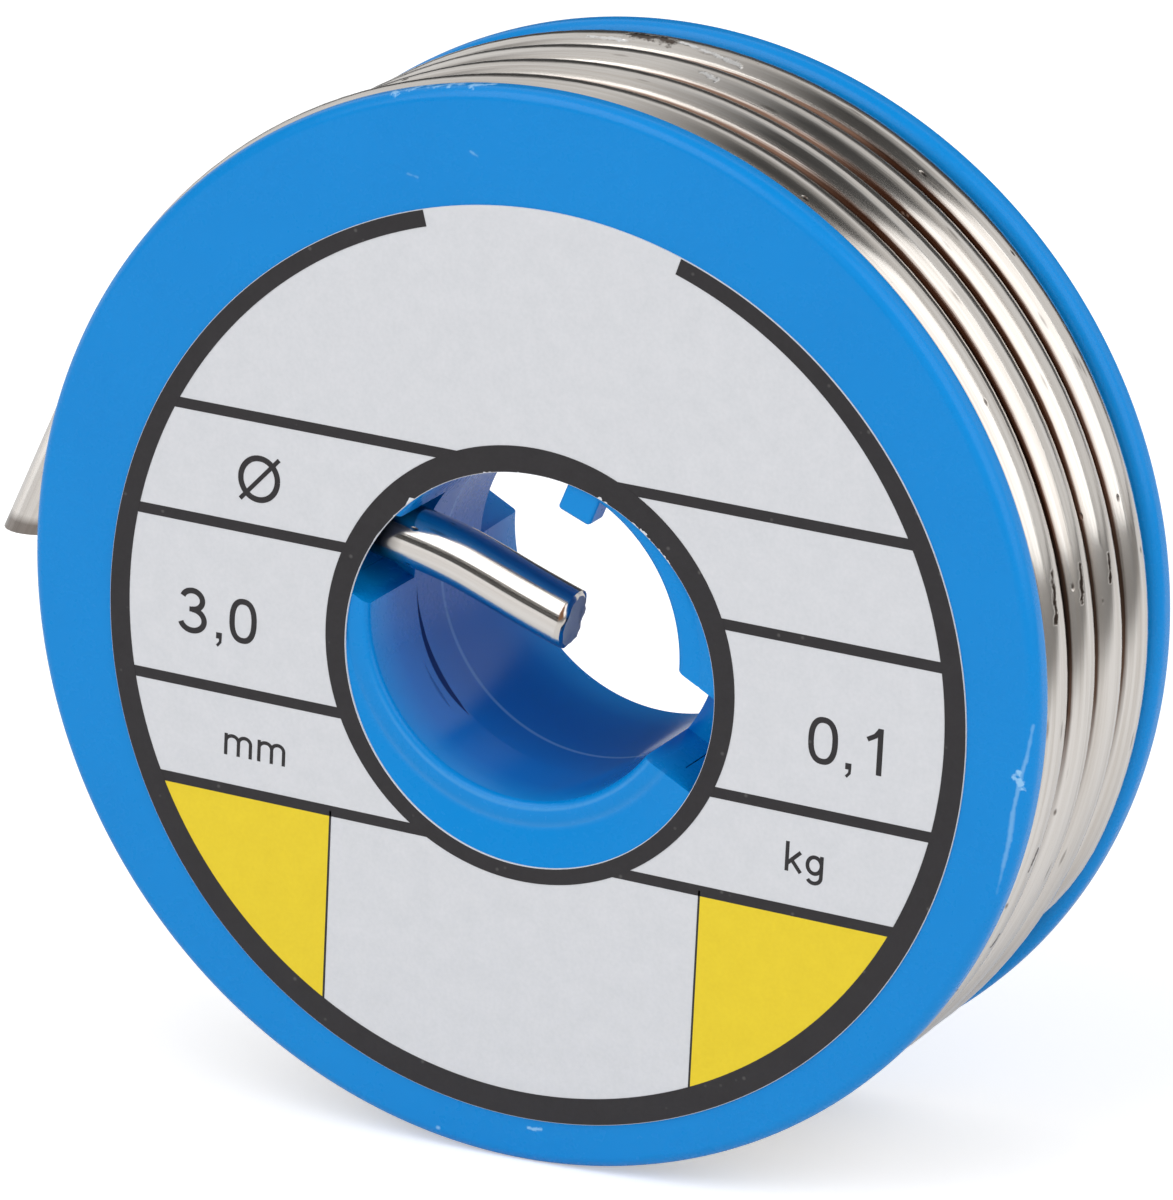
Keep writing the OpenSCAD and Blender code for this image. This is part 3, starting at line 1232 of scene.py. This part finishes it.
        # the core's faces sit where the wire's painted valley shade is full, so the core shows as
        # painted shade
        layer = bm.loops.layers.uv.active
        for face in list(bm.faces)[wound:]:
            for loop in face.loops:
                loop[layer].uv = self.core_shade
        return finished_mesh(bm, self.sharp)

    def build(self, wardrobe: Wardrobe) -> None:
        """Build and dress the winding.

        Args:
            wardrobe: The finishes.
        """
        wardrobe.dress("solder_wire_outer_layer", self.outer_mesh(), Finish.TIN, "solder_wire",
                       "wire_outer_layer", "wire_tail")
        wardrobe.dress("solder_wire_inner_layers", self.core_mesh(), Finish.TIN, "solder_wire",
                       "wire_inner_layers")


@dataclass
class WireStart:
    """The wire's cut start, which comes out of a slot and stands in the bore."""

    wire_r: float = 1.40
    z: float = 5.35
    path: tuple[Point2, ...] = (
        (-12.2, 4.7), (-9.6, 3.95), (-7.6, 3.45), (-6.1, 3.1), (-4.9, 2.78), (-3.7, 2.38),
        (-2.4, 1.86), (-1.01, 1.28), (0.2, 0.80), (1.25, 0.40))
    # how far each ring of the cut lies ahead, in mm, and its share of the wire's size
    cut_rings: tuple[Point2, ...] = ((0.14, 0.96), (0.26, 0.84), (0.33, 0.45))
    cut_lean: Point2 = (0.18, 0.10)
    smooth_steps: int = 6
    cut_ragged: float = 0.12
    cut_grain: float = 2300.0
    sides: int = 32
    sharp: float = 40.0

    def _line(self) -> list[Point2]:
        """Return the path's points, smoothed between the given ones.

        Returns:
            The points as (x, y).
        """
        points = []
        given = [self.path[0], *self.path, self.path[-1]]
        for i in range(1, len(given) - 2):
            p0, p1, p2, p3 = (Vector(given[i + k]) for k in (-1, 0, 1, 2))
            for k in range(self.smooth_steps):
                t = k / self.smooth_steps
                spot = 0.5 * ((2 * p1) + (p2 - p0) * t + (2 * p0 - 5 * p1 + 4 * p2 - p3) * t ** 2
                              + (3 * p1 - p0 - 3 * p2 + p3) * t ** 3)
                points.append((spot.x, spot.y))
        points.append(self.path[-1])
        return points

    def build(self, wardrobe: Wardrobe) -> None:
        """Build and dress the start.

        Args:
            wardrobe: The finishes.
        """
        line = self._line()
        sections = []
        along = 0.0
        for i, (x, y) in enumerate(line):
            before, after = line[max(0, i - 1)], line[min(len(line) - 1, i + 1)]
            heading = Vector((after[0] - before[0], after[1] - before[1])).normalized()
            if i:
                along += math.dist(line[i - 1], line[i])
            outward = world(heading.y, -heading.x, 0.0).normalized()
            sections.append(Section(world(x, y, self.z), outward, along))
        bm = swept(sections, self.wire_r, self.sides)
        verts = list(bm.verts)
        bm.faces.new(verts[:self.sides][::-1])
        self._pinch(bm, verts[-self.sides:], sections[-1])
        wardrobe.dress("solder_wire_start", finished_mesh(bm, self.sharp), Finish.TIN_END,
                       "solder_wire", "wire_start")

    def _pinch(self, bm: BMesh, rim: list[bmesh.types.BMVert], end: Section) -> None:
        """Close the end with the uneven face that side cutters leave.

        Args:
            bm: The wire's faces.
            rim: The last ring.
            end: Its section.
        """
        forward = end.outward.cross(AXIS).normalized()
        if forward.x < 0:
            forward = -forward
        layer = bm.loops.layers.uv.active
        rings = [rim]
        for reach, share in self.cut_rings:
            ring = []
            for vert in rim:
                off = vert.co - end.middle
                across = off.dot(end.outward) / (self.wire_r * MM)
                side = off.dot(AXIS) / (self.wire_r * MM)
                lean = self.cut_lean[0] * across + self.cut_lean[1] * side
                grain = vert.co * self.cut_grain + Vector((share * 5, 0, 0))
                ragged = self.cut_ragged * noise.noise(grain)
                ahead = forward * ((reach + lean * share + ragged) * MM)
                ring.append(bm.verts.new(end.middle + off * share + ahead))
            rings.append(ring)
        for inner, outer in zip(rings, rings[1:]):
            for k in range(len(rim)):
                m = (k + 1) % len(rim)
                face = bm.faces.new((inner[k], outer[k], outer[m], inner[m]))
                if outer is not rings[-1]:
                    for loop in face.loops:
                        loop[layer].uv = (end.along, 1.0)
        bm.faces.new(rings[-1])


# ---- the label

def bow(u: float, v: float, wide: float, tall: float, start: float = 0.0, end: float = 360.0,
        square: float = 2.0) -> tuple[Point2, ...]:
    """Return the points of an arc of a rounded shape.

    Args:
        u: Middle, to the right.
        v: Middle, upwards.
        wide: Half its width.
        tall: Half its height.
        start: Start angle, in degrees.
        end: End angle, in degrees.
        square: Squareness, 2 for an ellipse.

    Returns:
        The points.
    """
    points = []
    count = max(6, round(abs(end - start) / 8))
    for i in range(count + 1):
        c, s = unit(start + (end - start) * i / count)
        points.append((u + wide * math.copysign(abs(c) ** (2 / square), c),
                       v + tall * math.copysign(abs(s) ** (2 / square), s)))
    return tuple(points)


@dataclass(frozen=True)
class Stroke:
    """One stroke of a printed figure: its width and its middle line, in the print's own mm."""

    width: float
    points: tuple[Point2, ...]

    def outlines(self) -> list[list[Point2]]:
        """Return the stroke as a row of four-cornered pieces.

        Returns:
            Four corners of each piece.
        """
        sides = []
        last = len(self.points) - 1
        for i, point in enumerate(self.points):
            before = (Vector(point) - Vector(self.points[max(0, i - 1)])).normalized()
            after = (Vector(self.points[min(last, i + 1)]) - Vector(point)).normalized()
            heading = (before + after).normalized()
            reach = 0.5 * self.width / max(0.5, heading.dot(after if i < last else before))
            off = Vector((-heading.y, heading.x)) * reach
            sides.append((tuple(Vector(point) + off), tuple(Vector(point) - off)))
        return [[a[1], b[1], b[0], a[0]] for a, b in zip(sides, sides[1:])]


def comma(u: float) -> list[Stroke]:
    """Return a decimal comma below the figures' line."""
    return [Stroke(0.29, ((u, -1.41), (u, -1.70))),
            Stroke(0.13, ((u + 0.08, -1.62), (u + 0.07, -1.86), (u - 0.09, -2.05)))]


def small_m(u: float) -> list[Stroke]:
    """Return a small m from its first foot.

    Args:
        u: Left foot, to the right.

    Returns:
        The strokes.
    """
    width, foot = 0.165, -7.16
    arches = [Stroke(width, (*bow(u + near, -6.50, reach, 0.28, 180.0, 0.0),
                             (u + near + reach, foot)))
              for near, reach in ((0.325, 0.325), (0.96, 0.31))]
    return [Stroke(width, ((u, -6.13), (u, foot))), *arches]


def figures() -> list[Stroke]:
    """Return the plain figures and units: the gauge at the left, the weight at the right.

    Returns:
        The strokes.
    """
    big, small = 0.27, 0.18
    return [
        Stroke(big, bow(-13.82, 6.23, 0.935, 0.975)),
        Stroke(0.2, ((-14.75, 5.17), (-12.84, 7.29))),
        Stroke(big, bow(-17.02, -0.115, 0.52, 0.445, 162.0, -90.0)),
        Stroke(big, bow(-17.0, -1.065, 0.615, 0.505, 90.0, -162.0)),
        Stroke(0.24, ((-17.16, -0.56), (-16.95, -0.56))),
        *comma(-15.6),
        Stroke(big, bow(-14.39, -0.64, 0.565, 0.93, square=2.4)),
        *small_m(-15.06), *small_m(-13.35),
        Stroke(big, bow(14.53, -0.62, 0.58, 0.965, square=2.4)),
        *comma(15.8),
        Stroke(0.26, ((17.26, 0.47), (17.26, -1.70))),
        Stroke(0.22, ((17.22, 0.38), (17.02, 0.10), (16.64, -0.12))),
        Stroke(small, ((13.12, -5.59), (13.12, -6.98))),
        Stroke(small, ((13.14, -6.62), (13.77, -6.01))),
        Stroke(small, ((13.34, -6.42), (13.80, -6.97))),
        Stroke(small, bow(14.46, -6.475, 0.34, 0.385)),
        Stroke(small, ((14.80, -6.0), (14.80, -6.95),
                       *bow(14.46, -7.0, 0.34, 0.31, -10.0, -150.0))),
    ]


@dataclass
class Label:
    """Ring label on the front, with its ruled print and plain figures."""

    outer_r: float = 21.3
    hole_r: float = 9.18
    centre: Point2 = (0.4, -1.52)
    print_centre: Point2 = (0.4, -1.28)
    tilt: float = -2.9
    face: float = 7.75
    paper_t: float = 0.085
    paper_edge: float = 0.01
    ink_t: float = 0.02
    ink_gap: float = 0.03
    ink_overlap: float = 0.05
    line_drop: float = -0.006
    stroke_drop: float = -0.0004
    yellow_drop: float = -0.01
    ring_inner_r: float = 20.28
    hub_ring_r: float = 10.18
    gap: Point2 = (-5.8, 6.16)
    rules: tuple[float, ...] = (9.12, 3.82, -4.04, -8.80)
    rule_w: float = 0.5
    columns: Point2 = (-9.59, 8.96)
    column_w: float = 0.1

    def _laid(self, *corners: Point2) -> list[Point2]:
        """Turn points of the print into drawn points."""
        turned_corners = (spun(self.tilt, u, v) for u, v in corners)
        return [(self.print_centre[0] + x, self.print_centre[1] + y) for x, y in turned_corners]

    def _inked(self, outlines: Iterable[Sequence[Point2]], lift: float = 0.0) -> BMesh:
        """Build flat shapes of ink from their drawn corners, raised by a lift in mm.

        Args:
            outlines: Corners of each shape.
            lift: How far it is raised.

        Returns:
            The faces.
        """
        paper = self.face + self.paper_t
        whole = bmesh.new()
        for outline in outlines:
            join(whole, prism(outline, paper - 0.02, paper + self.ink_t + lift))
        return whole

    def paper_mesh(self) -> Mesh:
        """Build the die-cut ring of paper.

        Returns:
            The mesh.
        """
        low, high, edge = self.face, self.face + self.paper_t, self.paper_edge
        outline = [(self.hole_r, low), (self.outer_r, low),
                   (self.outer_r, high - edge), (self.outer_r - edge, high),
                   (self.hole_r + edge, high), (self.hole_r, high - edge)]
        bm = turned(outline, 288)
        bmesh.ops.translate(bm, verts=bm.verts, vec=world(*self.centre, 0.0))
        return finished_mesh(bm)

    @staticmethod
    def _strip(inner: Sequence[Point2], outer: Sequence[Point2]) -> list[list[Point2]]:
        """Return four-cornered pieces between two rows of points."""
        return [list(corners) for corners in zip(inner, outer, outer[1:], inner[1:])]

    def _outer_band(self) -> list[list[Point2]]:
        """Return the black band along the label's edge, open at the top, in short pieces.

        Returns:
            Corners of each piece.
        """
        low, high = (math.degrees(math.acos(u / self.ring_inner_r)) for u in reversed(self.gap))
        first, last = math.ceil(high), 360 + math.floor(low)
        inner = fillet(self.print_centre, self.ring_inner_r, first + self.tilt,
                       last + self.tilt, last - first)
        return self._strip(inner, [self._on_paper(x, y) for x, y in inner])

    def _on_paper(self, x: float, y: float) -> Point2:
        """Push a drawn point outwards to the end of the ink.

        Args:
            x: To the right.
            y: Upwards.

        Returns:
            The point at the ink's end.
        """
        dx, dy = x - self.centre[0], y - self.centre[1]
        scale = (self.outer_r - self.ink_gap) / math.hypot(dx, dy)
        return self.centre[0] + dx * scale, self.centre[1] + dy * scale

    def _hub_band(self) -> list[list[Point2]]:
        """Return the black band round the hole, in short pieces."""
        return self._strip(fillet(self.centre, self.hole_r + self.ink_gap, 0.0, 360.0, 240),
                           fillet(self.print_centre, self.hub_ring_r, 0.0, 360.0, 240))

    @staticmethod
    def _reach(radius: float, height: float) -> float:
        """Return half the width of a circle at a height."""
        return math.sqrt(radius * radius - height * height)

    def _lines(self) -> list[list[Point2]]:
        """Return the ruled lines beside the hub's band and the two thin upright lines.

        Returns:
            Corners of each line.
        """
        pieces = []
        radii = self.hub_ring_r - 2 * self.ink_overlap, self.ring_inner_r + 2 * self.ink_overlap
        for v in self.rules:
            low, high = v - self.rule_w / 2, v + self.rule_w / 2
            for side in (-1.0, 1.0):
                (i0, o0), (i1, o1) = ([side * self._reach(radius, edge) for radius in radii]
                                      for edge in (low, high))
                pieces.append(self._laid((i0, low), (o0, low), (o1, high), (i1, high)))
        for u in self.columns:
            left, right = u - self.column_w / 2, u + self.column_w / 2
            low, top = -self._reach(self.ring_inner_r + self.ink_overlap, u), self.rules[-1]
            pieces.append(self._laid((left, low), (right, low), (right, top), (left, top)))
        return pieces

    def _yellow(self) -> list[list[Point2]]:
        """Return the two yellow fields beside the lower field.

        Returns:
            Corners of each field.
        """
        fields = []
        top = self.rules[-1] - self.rule_w / 2 + self.ink_overlap
        radius = self.ring_inner_r + self.ink_overlap
        for u, side in zip(self.columns, (-1.0, 1.0)):
            inner = u + side * self.column_w / 2
            start = math.degrees(math.atan2(top, side * self._reach(radius, top))) % 360.0
            end = math.degrees(math.atan2(-self._reach(radius, inner), inner)) % 360.0
            fields.append(self._laid((inner, top), *fillet((0.0, 0.0), radius, start, end, 24)))
        return fields

    def build(self, wardrobe: Wardrobe) -> None:
        """Build and dress the paper and its print.

        Args:
            wardrobe: The finishes.
        """
        wardrobe.dress("label_paper", self.paper_mesh(), Finish.PAPER, "label_paper", "label")
        black = self._inked(self._outer_band() + self._hub_band())
        join(black, self._inked(self._lines(), self.line_drop))
        # strokes that cross lie at slightly different heights
        for i, stroke in enumerate(figures()):
            pieces = [self._laid(*piece) for piece in stroke.outlines()]
            join(black, self._inked(pieces, self.line_drop + self.stroke_drop * i))
        yellow = self._inked(self._yellow(), self.yellow_drop)
        for name, ink, finish in (("label_black_print", black, Finish.BLACK_INK),
                                  ("label_yellow_print", yellow, Finish.YELLOW_INK)):
            wardrobe.dress(name, finished_mesh(ink), finish, "label_paper")


# ---- studio

@dataclass(frozen=True)
class Softbox:
    """One area lamp that looks at the spool."""

    name: str
    place: Point3
    size: Point2
    power: float


@dataclass
class Studio:
    """Pale floor, soft lamps and the camera."""

    floor_z: float = -0.025
    pale: Colour = (0.86, 0.86, 0.865, 1.0)
    dim: Colour = (0.16, 0.155, 0.15, 1.0)
    floor_glow: float = 0.42
    room_light: float = 0.56
    room_gloss: float = 0.05
    back_gloss: float = 0.70
    ceiling_gloss: float = 0.72
    viewer_gloss: float = 0.22
    viewer_colour: Colour = (1.0, 0.46, 0.22, 1.0)
    lens: float = 248.47
    eye: Point3 = (0.15798, -0.32123, 0.11195)
    aim: Point3 = (0.003275, -0.00775, 0.00220)
    softboxes: tuple[Softbox, ...] = (
        Softbox("side_right", (0.93, -0.21, 0.55), (1.1, 1.2), 6.0),
        Softbox("key_left", (-0.34, -0.74, 0.81), (1.0, 1.0), 6.0),
        Softbox("side_left", (-0.95, 0.02, 0.05), (0.6, 0.26), 0.5),
    )

    def floor(self) -> None:
        """Build the pale floor, which turns white for the camera and is painted dim front right
        for glossy rays.
        """
        bm = bmesh.new()
        bmesh.ops.create_grid(bm, x_segments=4, y_segments=4, size=3.0)
        bmesh.ops.translate(bm, verts=bm.verts, vec=(0.0, 0.0, self.floor_z))
        piece = linked("studio_floor", finished_mesh(bm))
        material, graph, shader = new_material("pale_floor")
        across, depth, _ = graph.split(graph.spot())
        # painted shade that only reflections see: the floor is dim front right for glossy rays
        front = (across * 0.9 - depth * 0.42).ramp(0.08, 0.125)
        graph.fill(shader, {
            "Base Color": graph.blend(front * graph.ray("Glossy"), self.pale, self.dim),
            "Roughness": 0.75, "Emission Color": WHITE,
            "Emission Strength": graph.ray("Camera") * self.floor_glow})
        piece.data.materials.append(material)

    def lamps(self) -> None:
        """Place the softboxes."""
        for box in self.softboxes:
            data = bpy.data.lights.new(box.name, "AREA")
            data.shape, data.size, data.size_y = "RECTANGLE", *box.size
            data.energy = box.power
            aimed(box.name, data, box.place, ORIGIN)

    def room(self) -> None:
        """Build the even light of the room and what shows of it in the gloss."""
        room = bpy.data.worlds.new("studio_room")
        room.use_nodes = True
        bpy.context.scene.world = room
        graph = Graph(room.node_tree)
        right, depth, up = graph.split(graph.spot("Generated"))
        # the wall behind shows in the gloss; right behind the spool its foot stays dark
        foot = graph.maths("MINIMUM", right.ramp(0.18, 0.46, 0.55, -0.10),
                           right.ramp(-0.72, -0.50, -0.10, 0.50))
        wall = (up - foot).ramp(0.0, 0.12) * up.ramp(0.92, 0.72) * depth.ramp(0.15, 0.4)
        ceiling = up.ramp(0.6, 0.8) * right.ramp(0.1, -0.3, self.room_gloss, self.ceiling_gloss)
        viewer = depth.ramp(-0.35, -0.6) * right.ramp(-0.1, 0.05)
        gloss = (wall * self.back_gloss + self.room_gloss).most(ceiling)
        gloss = gloss + viewer * self.viewer_gloss
        glossy, seen = graph.ray("Glossy"), graph.ray("Camera").most(graph.ray("Transmission"))
        graph.fill(room.node_tree.nodes["Background"], {
            "Strength": graph.mix(glossy, self.room_light, gloss).most(seen),
            "Color": graph.blend(viewer * glossy, WHITE, self.viewer_colour)})

    def camera(self) -> None:
        """Place the camera."""
        data = bpy.data.cameras.new("view")
        data.lens, data.sensor_width, data.sensor_fit = self.lens, 36.0, "AUTO"
        data.clip_start, data.clip_end = 0.01, 20.0
        bpy.context.scene.camera = aimed("view", data, self.eye, self.aim)

    def build(self) -> None:
        """Build the whole studio."""
        self.floor()
        self.lamps()
        self.room()
        self.camera()
        bpy.context.scene.view_settings.view_transform = "Standard"


# a painted highlight along the front rim's rounded edge, drawn as marks, and the width and
# strength of each stretch
RIM_HIGHLIGHT_LINE = ((24.74, -0.56, 7.6), (24.53, -1.96, 7.7), (24.21, -3.22, 7.75), (23.92, -4.64, 7.75),
            (23.78, -5.89, 7.75), (23.51, -7.16, 7.75), (23.2, -8.6, 7.75))
RIM_HIGHLIGHT_STRETCHES = ((0.10, 0.35), (0.12, 0.45), (0.12, 0.45), (0.15, 0.45), (0.13, 0.4), (0.10, 0.3))

SCUFFS_AND_RIM_HIGHLIGHT = (
    Mark((-6.3, 24.35, 7.3), (-5.0, 24.75, 7.0), 0.34, 1.4),
    Mark((-4.6, 24.75, 7.3), (-3.3, 24.9, 7.0), 0.26, 1.3),
    Mark((-2.5, 24.9, 7.2), (-1.7, 24.95, 7.0), 0.22, 1.2),
    Mark((-2.4, 22.0, 7.75), (-2.05, 21.85, 7.75), 0.07, 0.9, 0.45),
    Mark((-5.5, 20.65, 7.75), (-5.0, 20.55, 7.75), 0.06, 0.9, 0.35),
    Mark((24.2, -2.75, 7.75), (24.35, -3.45, 7.75), 0.13, 1.4, 0.9),
    Mark((23.95, -3.0, 7.75), (24.3, -3.25, 7.75), 0.10, 1.4, 0.8),
    Mark((-4.3, -24.05, 7.7), (-4.25, -24.05, 7.7), 0.12, 0.3),
    Mark((0.3, -23.3, 7.75), (1.0, -23.25, 7.75), 0.10, 0.9),
    *(Mark(start, end, width, 0.35, strength)
      for start, end, (width, strength) in zip(RIM_HIGHLIGHT_LINE, RIM_HIGHLIGHT_LINE[1:], RIM_HIGHLIGHT_STRETCHES)),
)

NICKS = (
    Nick((37.2, 4.9), (35.3, 5.1), 0.34),
    Nick((34.9, 5.0), (31.9, 5.5), 0.15, True),
    Nick((39.2, 5.3), (37.2, 5.5), 0.12, True),
    Nick((447.4, 4.9), (445.4, 5.1), 0.16),
    Nick((299.6, 5.0), (298.0, 5.2), 0.15),
    Nick((151.9, 5.0), (150.7, 5.1), 0.12),
    # a painted glint, not a tear
    Nick((179.9, 5.2), (179.1, 5.35), 0.15, True),
    Nick((139.9, 6.1), (139.0, 6.4), 0.12),
    Nick((435.2, 4.7), (434.2, 4.9), 0.10),
    Nick((430.9, 4.8), (430.3, 4.9), 0.12),
    Nick((427.8, 5.3), (427.3, 5.4), 0.10),
)


def main() -> None:
    """Build the spool, the wire, the label and the studio."""
    logging.basicConfig(level=logging.INFO, format="%(name)s: %(message)s")
    wardrobe = Wardrobe(Effects(), SCUFFS_AND_RIM_HIGHLIGHT, NICKS)
    Mouldings().build(wardrobe)
    Winding().build(wardrobe)
    WireStart().build(wardrobe)
    Label().build(wardrobe)
    Studio().build()


if __name__ == "__main__":
    main()
